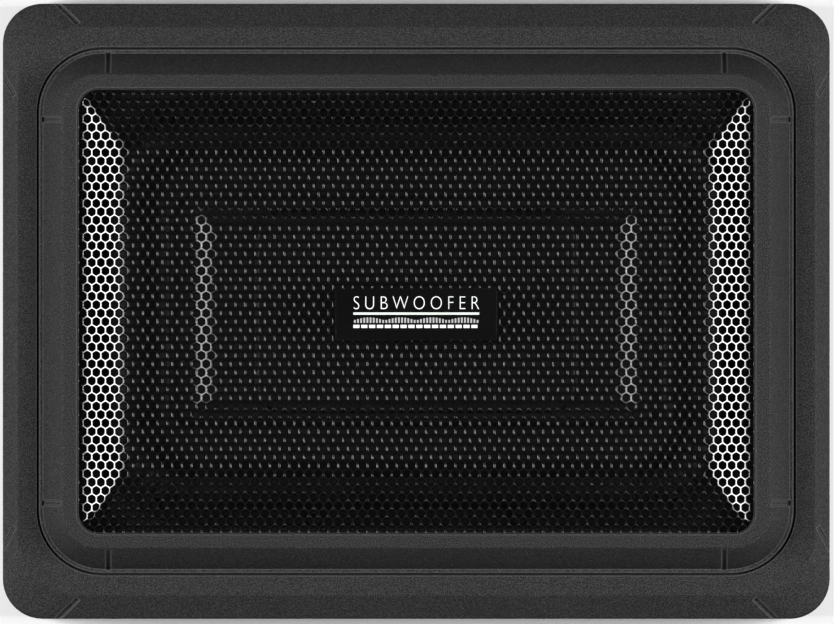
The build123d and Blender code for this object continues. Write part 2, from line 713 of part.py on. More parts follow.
def collect():
    power, level, remote = make_sockets()
    holder, fuse = make_fuse_parts()
    rca_block, jacks = make_rca_parts()
    toroid_core, toroid_winding = make_toroid()
    inductor_core, inductor_coil = make_inductor()
    parts = {
        "upper_housing": make_upper_housing(),
        "bottom_plate": make_bottom_plate(),
        "bottom_gasket": make_bottom_gasket(),
        "bottom_plate_screws": [screw(x, y, foot_height, 15.0, 1.3, 3.2, 1.6) for x, y in plate_screw_places],
        "rubber_feet": make_rubber_feet(),
        "bracket_nuts": make_bracket_nuts(),
        "grille_frame": make_grille_frame(),
        "grille_frame_screws": [screw(x, y, deck_underside, 57.0, 1.2, 3.0, 1.6)
                                for x, y in deck_screw_places],
        "grille_mesh": make_grille_mesh(),
        "mesh_retainer": make_mesh_retainer(),
        "mesh_screws": [screw(x, y, 61.2, 65.6, 0.9, 1.9, 1.1) for x, y in mesh_screw_places],
        "badge_plate": make_badge_plate(),
        "driver_basket": make_driver_basket(),
        "driver_gasket": make_driver_gasket(),
        "driver_screws": [screw(x, y, 55.0, 49.2, 1.8, 3.0, 1.8) for x, y in flange_screw_places],
        "surround": make_surround(),
        "diaphragm": make_diaphragm(),
        "centre_plate": make_centre_plate(),
        "drive_cone": make_drive_cone(),
        "voice_coil_former": ring(coil_radius, coil_radius - 0.4, coil_bottom, coil_top),
        "voice_coil_winding": ring(coil_radius + 1.1, coil_radius + 0.05, 21.5, 33.5),
        "spider": make_spider(),
        "terminal_strip": make_terminal_strip(),
        "tinsel_leads": make_tinsel_leads(),
        "speaker_wire_red": make_speaker_wire(1),
        "speaker_wire_black": make_speaker_wire(-1),
        "main_pcb": make_main_pcb(),
        "control_board": make_control_board(),
        "pcb_standoffs": make_standoffs(),
        "pcb_screws": make_pcb_screws(),
        "heat_sink_bar": make_heat_sink_bar(),
        "power_transistors": make_power_transistors(),
        "transistor_clamp": make_transistor_clamp(),
        "toroid_core": toroid_core,
        "toroid_winding": toroid_winding,
        "capacitors": make_capacitors(),
        "inductor_core": inductor_core,
        "inductor_coil": inductor_coil,
        "amplifier_chips": make_chips(),
        "end_panel": make_end_panel(),
        "end_panel_screws": make_panel_screws(),
        "power_socket": power,
        "socket_pins": make_socket_pins(),
        "fuse_holder": holder,
        "fuse": fuse,
        "level_input_socket": level,
        "rca_block": rca_block,
        "rca_jacks": jacks,
        "remote_port": remote,
        "potentiometers": make_potentiometers(),
        "switch_bodies": make_switch_bodies(),
        "power_led": make_power_led(),
    }
    parts.update(make_magnet_parts())
    for name, y in knob_places.items():
        parts[name] = make_knob(y)
    for name, y in switch_places.items():
        parts[name] = make_slider(y)
    return parts


if __name__ == "__main__":
    os.makedirs("parts", exist_ok=True)
    for node, shape in collect().items():
        solid = Compound(children=shape) if isinstance(shape, list) else shape
        export_step(solid, f"parts/{node}.step")
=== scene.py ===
"""Looks of the powered under-seat subwoofer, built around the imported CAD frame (Blender 4.5)."""
import json
import math

import bpy
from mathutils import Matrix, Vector


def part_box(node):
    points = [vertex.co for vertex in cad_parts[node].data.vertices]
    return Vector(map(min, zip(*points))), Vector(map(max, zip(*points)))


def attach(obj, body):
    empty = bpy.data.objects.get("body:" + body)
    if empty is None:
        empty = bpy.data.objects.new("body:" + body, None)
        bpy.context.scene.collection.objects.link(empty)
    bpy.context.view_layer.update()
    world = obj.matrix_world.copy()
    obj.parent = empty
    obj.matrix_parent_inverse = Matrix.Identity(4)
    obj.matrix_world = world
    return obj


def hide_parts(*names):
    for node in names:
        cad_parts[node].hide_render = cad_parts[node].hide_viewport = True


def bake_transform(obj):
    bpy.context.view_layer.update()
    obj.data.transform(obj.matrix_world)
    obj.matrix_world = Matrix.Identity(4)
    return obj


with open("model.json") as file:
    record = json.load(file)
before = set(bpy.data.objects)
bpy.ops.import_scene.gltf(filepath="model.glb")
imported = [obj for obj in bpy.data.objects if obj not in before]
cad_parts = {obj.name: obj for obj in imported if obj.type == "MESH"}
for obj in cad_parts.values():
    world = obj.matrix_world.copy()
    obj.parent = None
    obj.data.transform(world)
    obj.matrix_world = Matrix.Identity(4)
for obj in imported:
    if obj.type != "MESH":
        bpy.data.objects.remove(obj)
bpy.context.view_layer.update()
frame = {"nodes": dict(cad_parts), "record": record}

MM = 0.001
NODES = frame["nodes"]
ENCLOSURE = "enclosure"


def middle(node):
    """Centre of a CAD node's box."""
    low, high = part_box(node)
    return (low + high) / 2


def add_object(name, data):
    """Object with the given data, linked to the scene."""
    thing = bpy.data.objects.new(name, data)
    bpy.context.scene.collection.objects.link(thing)
    return thing


def direction(turn):
    """Unit vector in plan at an angle from +X."""
    return math.cos(turn), math.sin(turn)


# ---------------------------------------------------------------- materials
WEAR_AND_HIGHLIGHT_RADIUS = 0.8 * MM         # how far from an edge the coat is lightened, partly rubbed and partly a painted highlight
WEAR_AND_HIGHLIGHT_LIGHTER = 0.12            # how much lighter than its flecks the edge is: rubbed coat plus painted highlight
CREVICE_REACH = 2.0 * MM       # how near another surface has to be for painted shade to darken the coat
# Colour of the painted shade in crevices.
CREVICE_SHADE = (0.002, 0.002, 0.002)
# Colour of the painted shade on steep faces.
STEEP_SHADE = (0.004, 0.004, 0.004)


def new_material(name):
    """Empty node material: (material, nodes, links, principled shader)."""
    material = bpy.data.materials.new(name)
    material.use_nodes = True
    tree = material.node_tree
    return material, tree.nodes, tree.links, tree.nodes["Principled BSDF"]


def add_noise(nodes, links, coords, scale, detail=3.0, roughness=0.5):
    """Noise texture in object space; scale is in features per metre."""
    texture = nodes.new("ShaderNodeTexNoise")
    texture.inputs["Scale"].default_value = scale
    texture.inputs["Detail"].default_value = detail
    texture.inputs["Roughness"].default_value = roughness
    links.new(coords.outputs["Object"], texture.inputs["Vector"])
    return texture.outputs["Fac"]


def add_range(nodes, links, value, low, high, from_low=0.3, from_high=0.7):
    """Maps a texture value onto a range."""
    node = nodes.new("ShaderNodeMapRange")
    node.inputs["From Min"].default_value = from_low
    node.inputs["From Max"].default_value = from_high
    node.inputs["To Min"].default_value = low
    node.inputs["To Max"].default_value = high
    links.new(value, node.inputs["Value"])
    return node.outputs["Result"]


def add_mix(nodes, links, factor, first, second):
    """Colour between two others; each is a colour or a socket."""
    node = nodes.new("ShaderNodeMix")
    node.data_type = "RGBA"
    links.new(factor, node.inputs["Factor"])
    for slot, colour in (("A", first), ("B", second)):
        socket = [s for s in node.inputs if s.name == slot and s.type == "RGBA"][0]
        if isinstance(colour, bpy.types.NodeSocket):
            links.new(colour, socket)
        else:
            socket.default_value = (*colour, 1.0)
    return [s for s in node.outputs if s.type == "RGBA"][0]


def add_bump(nodes, links, height, strength, distance, under=None):
    """Bump from a height value; under is the bump it builds on."""
    node = nodes.new("ShaderNodeBump")
    node.inputs["Strength"].default_value = strength
    node.inputs["Distance"].default_value = distance
    links.new(height, node.inputs["Height"])
    if under is not None:
        links.new(under, node.inputs["Normal"])
    return node.outputs["Normal"]


def edge_wear_and_highlight(nodes, links, radius):
    """Mask of rubbed edges and painted highlight: 1 along sharp edges, where the surface's bevelled
    direction leaves its true one.
    """
    bevel = nodes.new("ShaderNodeBevel")
    bevel.samples = 3
    bevel.inputs["Radius"].default_value = radius
    geometry = nodes.new("ShaderNodeNewGeometry")
    turn = nodes.new("ShaderNodeVectorMath")
    turn.operation = "DOT_PRODUCT"
    links.new(bevel.outputs["Normal"], turn.inputs[0])
    links.new(geometry.outputs["Normal"], turn.inputs[1])
    return add_range(nodes, links, turn.outputs["Value"], 1.0, 0.0, 0.80, 0.97)


def steepness(nodes, links):
    """Mask of painted shade: 0 on level faces, rising as they turn steep."""
    facing = nodes.new("ShaderNodeSeparateXYZ")
    geometry = nodes.new("ShaderNodeNewGeometry")
    links.new(geometry.outputs["Normal"], facing.inputs[0])
    return add_range(nodes, links, facing.outputs["Z"], 0.34, 0.0, 0.68, 0.98)


def crevices(nodes, links, reach):
    """Mask of painted shade: 0 in the open, rising where other surfaces close in within reach."""
    hollow = nodes.new("ShaderNodeAmbientOcclusion")
    hollow.samples = 6
    hollow.inputs["Distance"].default_value = reach
    return add_range(nodes, links, hollow.outputs["AO"], 0.9, 0.0, 0.30, 0.80)


def textured_coat(name, colour, fleck, grain=2300.0, depth=0.12 * MM, roughness=(0.56, 0.72), shine=0.10):
    """Sand-textured powder coat: fine grain with pale flecks, edges lightened partly as rubbed coat and
    partly as a painted highlight, painted shade in the crevices, and painted shade that makes the steep
    faces darker than the level ones."""
    material, nodes, links, shader = new_material(name)
    coords = nodes.new("ShaderNodeTexCoord")
    fine = add_noise(nodes, links, coords, grain, 2.0, 0.6)
    pebbles = add_noise(nodes, links, coords, grain * 0.5, 3.0, 0.55)
    cloud = add_noise(nodes, links, coords, 22.0, 4.0, 0.55)
    fleck_mask = add_range(nodes, links, fine, 0.0, 1.0, 0.43, 0.66)
    base = add_mix(nodes, links, fleck_mask, colour, fleck)
    cloudy = add_mix(nodes, links, add_range(nodes, links, cloud, 0.0, 0.12), base, colour)
    # Edges lightened: partly rubbed coat, partly a painted highlight.
    rubbed_and_highlit = tuple(channel + (1.0 - channel) * WEAR_AND_HIGHLIGHT_LIGHTER for channel in fleck)
    worn_and_highlit = add_mix(nodes, links, edge_wear_and_highlight(nodes, links, WEAR_AND_HIGHLIGHT_RADIUS), cloudy, rubbed_and_highlit)
    # Painted shade: steep faces are darker than level ones.
    steep_shaded = add_mix(nodes, links, steepness(nodes, links), worn_and_highlit, STEEP_SHADE)
    # Painted shade darkens the crevices.
    crevice_shaded = add_mix(nodes, links, crevices(nodes, links, CREVICE_REACH), steep_shaded, CREVICE_SHADE)
    links.new(crevice_shaded, shader.inputs["Base Color"])
    links.new(add_range(nodes, links, pebbles, *roughness), shader.inputs["Roughness"])
    bump = add_bump(nodes, links, pebbles, 0.75, depth)
    links.new(add_bump(nodes, links, fine, 0.55, depth * 0.6, bump), shader.inputs["Normal"])
    shader.inputs["Specular IOR Level"].default_value = shine
    return material


def satin_paint(name, colour, roughness=(0.26, 0.40), grain=420.0, depth=0.02 * MM, shine=0.5):
    """Thin even paint on steel with slight orange peel and handling smudges."""
    material, nodes, links, shader = new_material(name)
    coords = nodes.new("ShaderNodeTexCoord")
    peel = add_noise(nodes, links, coords, grain, 2.0, 0.5)
    smudge = add_noise(nodes, links, coords, 35.0, 5.0, 0.6)
    links.new(add_mix(nodes, links, add_range(nodes, links, smudge, 0.0, 1.0), colour,
                      tuple(c * 1.35 for c in colour)), shader.inputs["Base Color"])
    links.new(add_range(nodes, links, smudge, *roughness), shader.inputs["Roughness"])
    links.new(add_bump(nodes, links, peel, 0.5, depth), shader.inputs["Normal"])
    shader.inputs["Specular IOR Level"].default_value = shine
    return material


def moulded(name, colour, roughness=(0.42, 0.58), grain=900.0, depth=0.03 * MM, coat=0.0):
    """Moulded plastic with a fine spark-eroded texture."""
    material, nodes, links, shader = new_material(name)
    coords = nodes.new("ShaderNodeTexCoord")
    texture = add_noise(nodes, links, coords, grain, 2.0, 0.6)
    drift = add_noise(nodes, links, coords, 60.0, 3.0, 0.5)
    links.new(add_mix(nodes, links, add_range(nodes, links, drift, 0.0, 1.0), colour,
                      tuple(min(1.0, c * 1.2 + 0.004) for c in colour)), shader.inputs["Base Color"])
    links.new(add_range(nodes, links, texture, *roughness), shader.inputs["Roughness"])
    links.new(add_bump(nodes, links, texture, 0.5, depth), shader.inputs["Normal"])
    shader.inputs["Coat Weight"].default_value = coat
    return material


def bare_metal(name, colour, roughness=(0.22, 0.40), brushed=True, tarnish=0.25):
    """Plated or bare metal with fine directional lines and a little tarnish."""
    material, nodes, links, shader = new_material(name)
    coords = nodes.new("ShaderNodeTexCoord")
    stretch = nodes.new("ShaderNodeMapping")
    stretch.inputs["Scale"].default_value = (1.0, 14.0 if brushed else 1.0, 1.0)
    links.new(coords.outputs["Object"], stretch.inputs["Vector"])
    lines = nodes.new("ShaderNodeTexNoise")
    lines.inputs["Scale"].default_value = 260.0
    lines.inputs["Detail"].default_value = 4.0
    links.new(stretch.outputs["Vector"], lines.inputs["Vector"])
    stain = add_noise(nodes, links, coords, 45.0, 5.0, 0.6)
    links.new(add_mix(nodes, links, add_range(nodes, links, stain, 0.0, tarnish), colour,
                      tuple(c * 0.45 for c in colour)), shader.inputs["Base Color"])
    links.new(add_range(nodes, links, lines.outputs["Fac"], *roughness), shader.inputs["Roughness"])
    links.new(add_bump(nodes, links, lines.outputs["Fac"], 0.25, 0.00001), shader.inputs["Normal"])
    shader.inputs["Metallic"].default_value = 1.0
    return material


def woven(name, colour, dark, pitch=0.0011, roughness=0.8):
    """Open cotton weave, for the coil's suspension."""
    material, nodes, links, shader = new_material(name)
    coords = nodes.new("ShaderNodeTexCoord")
    waves = []
    for direction in ("X", "Y"):
        wave = nodes.new("ShaderNodeTexWave")
        wave.bands_direction = direction
        wave.inputs["Scale"].default_value = 0.314 / pitch
        wave.inputs["Distortion"].default_value = 0.6
        links.new(coords.outputs["Object"], wave.inputs["Vector"])
        waves.append(wave.outputs["Fac"])
    both = nodes.new("ShaderNodeMath")
    both.operation = "MULTIPLY"
    links.new(waves[0], both.inputs[0])
    links.new(waves[1], both.inputs[1])
    links.new(add_mix(nodes, links, both.outputs[0], dark, colour), shader.inputs["Base Color"])
    links.new(add_bump(nodes, links, both.outputs[0], 0.6, 0.0001), shader.inputs["Normal"])
    shader.inputs["Roughness"].default_value = roughness
    return material


def rubber(name, colour, roughness=(0.48, 0.66), shine=0.35):
    """Rubber with faint moulding bloom."""
    material, nodes, links, shader = new_material(name)
    coords = nodes.new("ShaderNodeTexCoord")
    bloom = add_noise(nodes, links, coords, 70.0, 5.0, 0.6)
    grain = add_noise(nodes, links, coords, 1400.0, 2.0, 0.5)
    links.new(add_mix(nodes, links, add_range(nodes, links, bloom, 0.0, 0.6), colour,
                      tuple(c * 1.7 for c in colour)), shader.inputs["Base Color"])
    links.new(add_range(nodes, links, bloom, *roughness), shader.inputs["Roughness"])
    links.new(add_bump(nodes, links, grain, 0.35, 0.00003), shader.inputs["Normal"])
    shader.inputs["Specular IOR Level"].default_value = shine
    return material


MATERIALS = {
    "powder_coat": textured_coat("powder_coat", (0.0120, 0.0120, 0.0127), (0.065, 0.065, 0.067)),
    "frame_coat": textured_coat("frame_coat", (0.0115, 0.0115, 0.0122), (0.065, 0.065, 0.067)),
    "panel_coat": textured_coat("panel_coat", (0.012, 0.012, 0.013), (0.030, 0.030, 0.032), grain=2200.0,
                                depth=0.00005),
    "base_steel": textured_coat("base_steel", (0.014, 0.014, 0.015), (0.040, 0.040, 0.042), grain=1900.0,
                                depth=0.00006, roughness=(0.40, 0.55)),
    "basket_steel": satin_paint("basket_steel", (0.0055, 0.0055, 0.006), (0.45, 0.60), shine=0.25),
    "mesh_steel": satin_paint("mesh_steel", (0.0018, 0.0018, 0.0019), (0.12, 0.17), shine=0.8),
    "badge_black": satin_paint("badge_black", (0.0026, 0.0026, 0.0028), (0.12, 0.18), shine=0.4),
    "badge_print": moulded("badge_print", (0.86, 0.86, 0.85), (0.45, 0.6), depth=0.00001),
    "badge_print_grey": moulded("badge_print_grey", (0.42, 0.42, 0.42), (0.45, 0.6), depth=0.00001),
    "black_screw": satin_paint("black_screw", (0.010, 0.010, 0.011), (0.38, 0.50), shine=0.3),
    "zinc_steel": bare_metal("zinc_steel", (0.60, 0.61, 0.60), (0.24, 0.42)),
    "aluminium_bar": bare_metal("aluminium_bar", (0.70, 0.70, 0.72), (0.28, 0.45)),
    "nickel_plate": bare_metal("nickel_plate", (0.76, 0.73, 0.66), (0.10, 0.22), brushed=False,
                               tarnish=0.1),
    "tinned_pins": bare_metal("tinned_pins", (0.78, 0.77, 0.74), (0.16, 0.30), brushed=False),
    "brass": bare_metal("brass", (0.72, 0.52, 0.24), (0.20, 0.35)),
    "copper_wire": bare_metal("copper_wire", (0.72, 0.30, 0.13), (0.20, 0.32), brushed=False),
    "coil_former": bare_metal("coil_former", (0.60, 0.60, 0.62), (0.25, 0.40)),
    "foam_seal": rubber("foam_seal", (0.018, 0.018, 0.018), (0.75, 0.9)),
    "foot_rubber": rubber("foot_rubber", (0.020, 0.020, 0.020)),
    "surround_rubber": rubber("surround_rubber", (0.013, 0.013, 0.014), (0.58, 0.72), shine=0.2),
    "black_plastic": moulded("black_plastic", (0.018, 0.018, 0.019)),
    "white_plastic": moulded("white_plastic", (0.62, 0.60, 0.53), (0.35, 0.5)),
    "knob_plastic": moulded("knob_plastic", (0.022, 0.022, 0.023), (0.36, 0.50)),
    "slider_plastic": moulded("slider_plastic", (0.13, 0.13, 0.14), (0.38, 0.52)),
    "diaphragm_black": moulded("diaphragm_black", (0.009, 0.009, 0.0095), (0.40, 0.55), grain=500.0),
    "cone_paper": moulded("cone_paper", (0.035, 0.034, 0.032), (0.8, 0.9), grain=700.0, depth=0.00008),
    "spider_cloth": woven("spider_cloth", (0.50, 0.36, 0.16), (0.20, 0.13, 0.05)),
    "ferrite": moulded("ferrite", (0.035, 0.035, 0.037), (0.6, 0.75), grain=600.0),
    "phenolic": moulded("phenolic", (0.16, 0.075, 0.03), (0.5, 0.6)),
    "wire_red": moulded("wire_red", (0.42, 0.012, 0.010), (0.35, 0.5)),
    "wire_black": moulded("wire_black", (0.015, 0.015, 0.016), (0.35, 0.5)),
    "circuit_board": moulded("circuit_board", (0.008, 0.085, 0.030), (0.3, 0.45), grain=300.0, coat=0.3),
    "epoxy_black": moulded("epoxy_black", (0.015, 0.015, 0.016), (0.5, 0.65)),
    "capacitor_sleeve": moulded("capacitor_sleeve", (0.012, 0.012, 0.030), (0.22, 0.3), coat=0.4),
    "fuse_amber": moulded("fuse_amber", (0.75, 0.26, 0.01), (0.18, 0.28), coat=0.5),
    "led_lens": moulded("led_lens", (0.05, 0.20, 0.70), (0.12, 0.2), coat=0.6),
}


def dress_cad_nodes():
    """Gives every CAD node the procedural material of its record slot."""
    for part in frame["record"]["subparts"]:
        mesh = NODES[part["node"]].data
        mesh.materials.clear()
        mesh.materials.append(MATERIALS[part["material_slot"]])


def new_piece(name, vertices, faces, material, smooth=False):
    """Mesh object in the row frame, metres."""
    mesh = bpy.data.meshes.new(name)
    mesh.from_pydata(vertices, [], faces)
    mesh.validate()
    mesh.materials.append(MATERIALS[material])
    mesh.polygons.foreach_set("use_smooth", [smooth] * len(mesh.polygons))
    mesh.update()
    return add_object(name, mesh)


# ---------------------------------------------------------------- camera, lights and floor
CAMERA_HEIGHT = 10.0
VIEW_WIDTH = 0.3427            # width of the object's plane that the frame takes in
VIEW_CENTRE = (0.0003, -0.0003)
SENSOR = 36.0
SOFTBOX_TILT = 56.6            # off the vertical; the sloping sides of the mesh mirror its upper part
SOFTBOX_DISTANCE = 1.5
SOFTBOX_SIZE = (0.86, 0.46)    # along its tilt, along Y
SOFTBOX_POWER = 27.6
WORLD_STRENGTH = 0.07
FLOOR_HALF = 3.0


def make_camera():
    """Looks straight down from far off, through a long lens, as flat as the photograph."""
    data = bpy.data.cameras.new("camera")
    data.sensor_width = SENSOR
    data.lens = SENSOR * CAMERA_HEIGHT / VIEW_WIDTH
    data.clip_start = 0.1
    data.clip_end = 100.0
    camera = add_object("camera", data)
    plane_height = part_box("upper_housing")[1].z
    camera.location = (*VIEW_CENTRE, plane_height + CAMERA_HEIGHT)
    bpy.context.scene.camera = camera


def add_softbox(name, tilt, distance, size, power):
    """Soft box tilted off the vertical through the object, facing it."""
    data = bpy.data.lights.new(name, "AREA")
    data.shape = "RECTANGLE"
    data.size, data.size_y = size
    data.energy = power
    light = add_object(name, data)
    light.location = (distance * math.sin(tilt), 0.0, distance * math.cos(tilt))
    light.rotation_euler = (0.0, tilt, 0.0)


def make_studio():
    """Two soft boxes, one each side, and a dim white surround."""
    for name, side in (("left_softbox", -1), ("right_softbox", 1)):
        tilt = math.radians(SOFTBOX_TILT) * side
        add_softbox(name, tilt, SOFTBOX_DISTANCE, SOFTBOX_SIZE, SOFTBOX_POWER)
    world = bpy.data.worlds.new("studio")
    world.use_nodes = True
    world.node_tree.nodes["Background"].inputs["Color"].default_value = (1.0, 1.0, 1.0, 1.0)
    world.node_tree.nodes["Background"].inputs["Strength"].default_value = WORLD_STRENGTH
    bpy.context.scene.world = world
    bpy.context.scene.view_settings.view_transform = "Standard"


def make_floor():
    """Wide pale floor under the feet."""
    material, nodes, links, shader = new_material("floor")
    coords = nodes.new("ShaderNodeTexCoord")
    cloud = add_noise(nodes, links, coords, 6.0)
    tone = add_mix(nodes, links, cloud, (0.90, 0.90, 0.90), (0.93, 0.93, 0.93))
    links.new(tone, shader.inputs["Base Color"])
    shader.inputs["Roughness"].default_value = 0.9
    mesh = bpy.data.meshes.new("floor")
    corners = [(x * FLOOR_HALF, y * FLOOR_HALF, 0) for x, y in ((-1, -1), (1, -1), (1, 1), (-1, 1))]
    mesh.from_pydata(corners, [], [(0, 1, 2, 3)])
    mesh.materials.append(material)
    add_object("floor", mesh)


# ---------------------------------------------------------------- grille mesh
PITCH = 4.005 * MM             # hexagon spacing along a row of the flat sheet
ROW = PITCH * math.sqrt(3) / 2
HOLE = 1.22 * MM               # half the distance across a hole's flats, at the sheet's underside
CORNER_CUT = 0.16              # share of a hole's side that its rounded corner takes
# Rings of a hole from the flat web inwards: (outwards from HOLE, down, tilt of the surface in degrees).
RIM = (
    (0.60 * MM, 0.0, 0.0),
    (0.50 * MM, 0.03 * MM, 38.0),
    (0.30 * MM, 0.15 * MM, 70.0),
    (0.0, 1.0 * MM, 80.0),
)
SIDE_TURN = 20.0               # degrees between a corner's direction and the rim's normal beside it
FIRST_ROW = -0.8 * MM
SHEET = 1.0 * MM
WELD = PITCH * 0.05            # corners of neighbouring cells nearer than this are one point
SHEET_CORNER = 10.5 * MM       # radius of the sheet's corners
SHEET_MARGIN = 2.2 * MM        # how far inside the sheet's outline a hole's centre has to be

# The pressed relief: (half width, half depth) at the foot and the top of each step, from the
# outer edge in, then its rise.  These repeat the CAD sheet's outline.
EDGE, PLATEAU = (138.0 * MM, 90.0 * MM), (118.6 * MM, 66.6 * MM)
STEP_FOOT, STEP_TOP = (91.6 * MM, 43.0 * MM), (82.8 * MM, 36.1 * MM)
PAD_FOOT, PAD_TOP = (36.3 * MM, 12.9 * MM), (34.3 * MM, 11.2 * MM)
PAD_Y = -1.15 * MM
RIM_Z, PLATEAU_Z, STEP_Z, PAD_Z = (z * MM for z in (64.2, 71.5, 74.5, 75.1))
SLOPE_RISE = PLATEAU_Z - RIM_Z
# How softly each step's corners run into its sides, as a share of its slope.
SLOPE_BLEND, STEP_BLEND, PAD_BLEND = 0.10, 0.35, 0.50
STEP_EASE = 0.05               # the middle step has crisper creases than the rest


def smooth_max(a, b, blend):
    """Larger of two values, rounded where they are close."""
    gap = max(blend - abs(a - b), 0.0) / blend
    return max(a, b) + gap * gap * blend / 4


def soft_ramp(t, ease=0.3):
    """0 to 1 with both ends a little rounded."""
    t = min(max(t, 0.0), 1.0)
    return (1.0 - ease) * t + ease * t * t * (3 - 2 * t)


def outside_share(a, b, inner, outer, blend):
    """0 inside the inner rectangle, 1 at the outer one."""
    along_x = (a - inner[0]) / (outer[0] - inner[0])
    along_y = (b - inner[1]) / (outer[1] - inner[1])
    return smooth_max(along_x, along_y, blend)


def press(u, v):
    """Where a point of the flat perforated sheet lies once the sheet is pressed: (x, y, z)."""
    a, b = abs(u), abs(v)
    run_x, run_y = EDGE[0] - PLATEAU[0], EDGE[1] - PLATEAU[1]
    arc_x, arc_y = math.hypot(run_x, SLOPE_RISE), math.hypot(run_y, SLOPE_RISE)
    share_x, share_y = (a - PLATEAU[0]) / arc_x, (b - PLATEAU[1]) / arc_y
    side = min(max((share_x - share_y) * 4.0 + 0.5, 0.0), 1.0)
    x = a - (arc_x - run_x) * min(max(share_x, 0.0), 1.0) * side
    y = b - (arc_y - run_y) * min(max(share_y, 0.0), 1.0) * (1.0 - side)
    z = PLATEAU_Z - SLOPE_RISE * soft_ramp(smooth_max(share_x, share_y, SLOPE_BLEND))
    if z > PLATEAU_Z - 0.01 * MM:
        step = outside_share(x, y, STEP_TOP, STEP_FOOT, STEP_BLEND)
        z += (STEP_Z - PLATEAU_Z) * (1.0 - soft_ramp(step, STEP_EASE))
        pad = outside_share(x, abs(math.copysign(y, v) - PAD_Y), PAD_TOP, PAD_FOOT, PAD_BLEND)
        z += (PAD_Z - STEP_Z) * (1.0 - soft_ramp(pad))
    return math.copysign(x, u), math.copysign(y, v), z


def rounded_gap(x, y, half_x, half_y, radius):
    """Signed distance to a rounded rectangle."""
    qx, qy = abs(x) - half_x + radius, abs(y) - half_y + radius
    return math.hypot(max(qx, 0.0), max(qy, 0.0)) + min(max(qx, qy), 0.0) - radius


def hexagon(radius, cut=None):
    """Corners of an upright hexagon; with cut, two points near each corner in place of it."""
    turns = [math.radians(60 * k) for k in range(6)]
    tips = [(radius * math.sin(turn), radius * math.cos(turn)) for turn in turns]
    if cut is None:
        return tips
    points = []
    for k, tip in enumerate(tips):
        for other in (tips[k - 1], tips[(k + 1) % 6]):
            points.append(tuple(t + (o - t) * cut for t, o in zip(tip, other)))
    return points


def sheet_normal(x, y):
    """Upward direction of the pressed sheet at a point of the flat sheet."""
    step = 0.3 * MM
    along = Vector(press(x + step, y)) - Vector(press(x - step, y))
    across = Vector(press(x, y + step)) - Vector(press(x, y - step))
    return along.cross(across).normalized()


def grille_cells():
    """Centres of the holes, row by row, that lie inside the sheet's rim."""
    rim_x, rim_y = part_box("grille_mesh")[1].x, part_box("grille_mesh")[1].y
    centres = []
    rows, columns = int(rim_y / ROW) + 2, int(rim_x / PITCH) + 2
    for row in range(-rows, rows + 1):
        shift = 0.0 if row % 2 else PITCH / 2
        for column in range(-columns, columns + 1):
            x, y = column * PITCH + shift, FIRST_ROW + row * ROW
            if rounded_gap(x, y, rim_x, rim_y, SHEET_CORNER) < -SHEET_MARGIN:
                centres.append((x, y))
    return centres


def make_grille_quarter(name, centres):
    """Part of the pressed sheet with a rolled rim, wall and underside round every hole."""
    cell = hexagon(PITCH / math.sqrt(3))
    rings = [hexagon((HOLE + out) * 2 / math.sqrt(3), CORNER_CUT) for out, _, _ in RIM]
    points, normals, faces, shared, border = [], [], [], {}, {}

    def add_point(x, y, drop, normal):
        px, py, pz = press(x, y)
        points.append((px, py, pz - drop))
        normals.append(normal)
        return len(points) - 1

    def web_point(x, y, drop, normal):
        key = (round(x / WELD), round(y / WELD), drop)
        if key not in shared:
            shared[key] = add_point(x, y, drop, normal)
        return shared[key]

    for cx, cy in centres:
        up = sheet_normal(cx, cy)
        top = [web_point(cx + sx, cy + sy, 0.0, sheet_normal(cx + sx, cy + sy)) for sx, sy in cell]
        low = [web_point(cx + sx, cy + sy, SHEET, -up) for sx, sy in cell]
        loops = []
        for ring, (_, drop, tilt) in zip(rings, RIM):
            loop = []
            for k, (sx, sy) in enumerate(ring):
                turn = math.radians(60 * (k // 2) + (SIDE_TURN if k % 2 else -SIDE_TURN))
                inward = Vector((-math.sin(turn), -math.cos(turn), 0.0))
                normal = up * math.cos(math.radians(tilt)) + inward * math.sin(math.radians(tilt))
                loop.append(add_point(cx + sx, cy + sy, drop, normal.normalized()))
            loops.append(loop)
        sides = len(cell)
        for outer, inner in zip(loops, loops[1:]):
            for k in range(2 * sides):
                n = (k + 1) % (2 * sides)
                faces.append((outer[k], inner[k], inner[n], outer[n]))
        for k in range(sides):
            n = (k + 1) % sides
            first, second, third = 2 * k, 2 * k + 1, 2 * n
            faces.append((top[k], loops[0][first], loops[0][second]))
            faces.append((top[k], loops[0][second], loops[0][third], top[n]))
            faces.append((low[k], loops[-1][second], loops[-1][first]))
            faces.append((low[n], loops[-1][third], loops[-1][second], low[k]))
            if border.pop((top[n], top[k]), None) is None:
                border[top[k], top[n]] = (low[k], low[n])
    for (a, b), (c, d) in border.items():
        faces.append((a, b, d, c))
    piece = new_piece(name, points, faces, "mesh_steel", smooth=True)
    piece.data.normals_split_custom_set_from_vertices(normals)
    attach(piece, ENCLOSURE)
    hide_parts("grille_mesh")


def make_grille_mesh():
    """The whole perforated sheet, in four quarters."""
    quarters = {}
    for x, y in grille_cells():
        name = f"perforated_grille_{'right' if x > 0 else 'left'}_{'back' if y > 0 else 'front'}"
        quarters.setdefault(name, []).append((x, y))
    for name, centres in quarters.items():
        make_grille_quarter(name, centres)


# ---------------------------------------------------------------- badge graphics
# Heights are above the badge's centre line.
BADGE_HALF = 25.8 * MM         # half the width of the word and of each row of marks
LETTER_HEIGHT = 5.4 * MM
WORD_FOOT = 1.9 * MM
RULE = (-0.25 * MM, 0.65 * MM)
TICK_FOOT = -3.6 * MM
TICK_COUNT = 40
BLOCKS = (-5.7 * MM, -4.4 * MM)
BLOCK_COUNT = 16


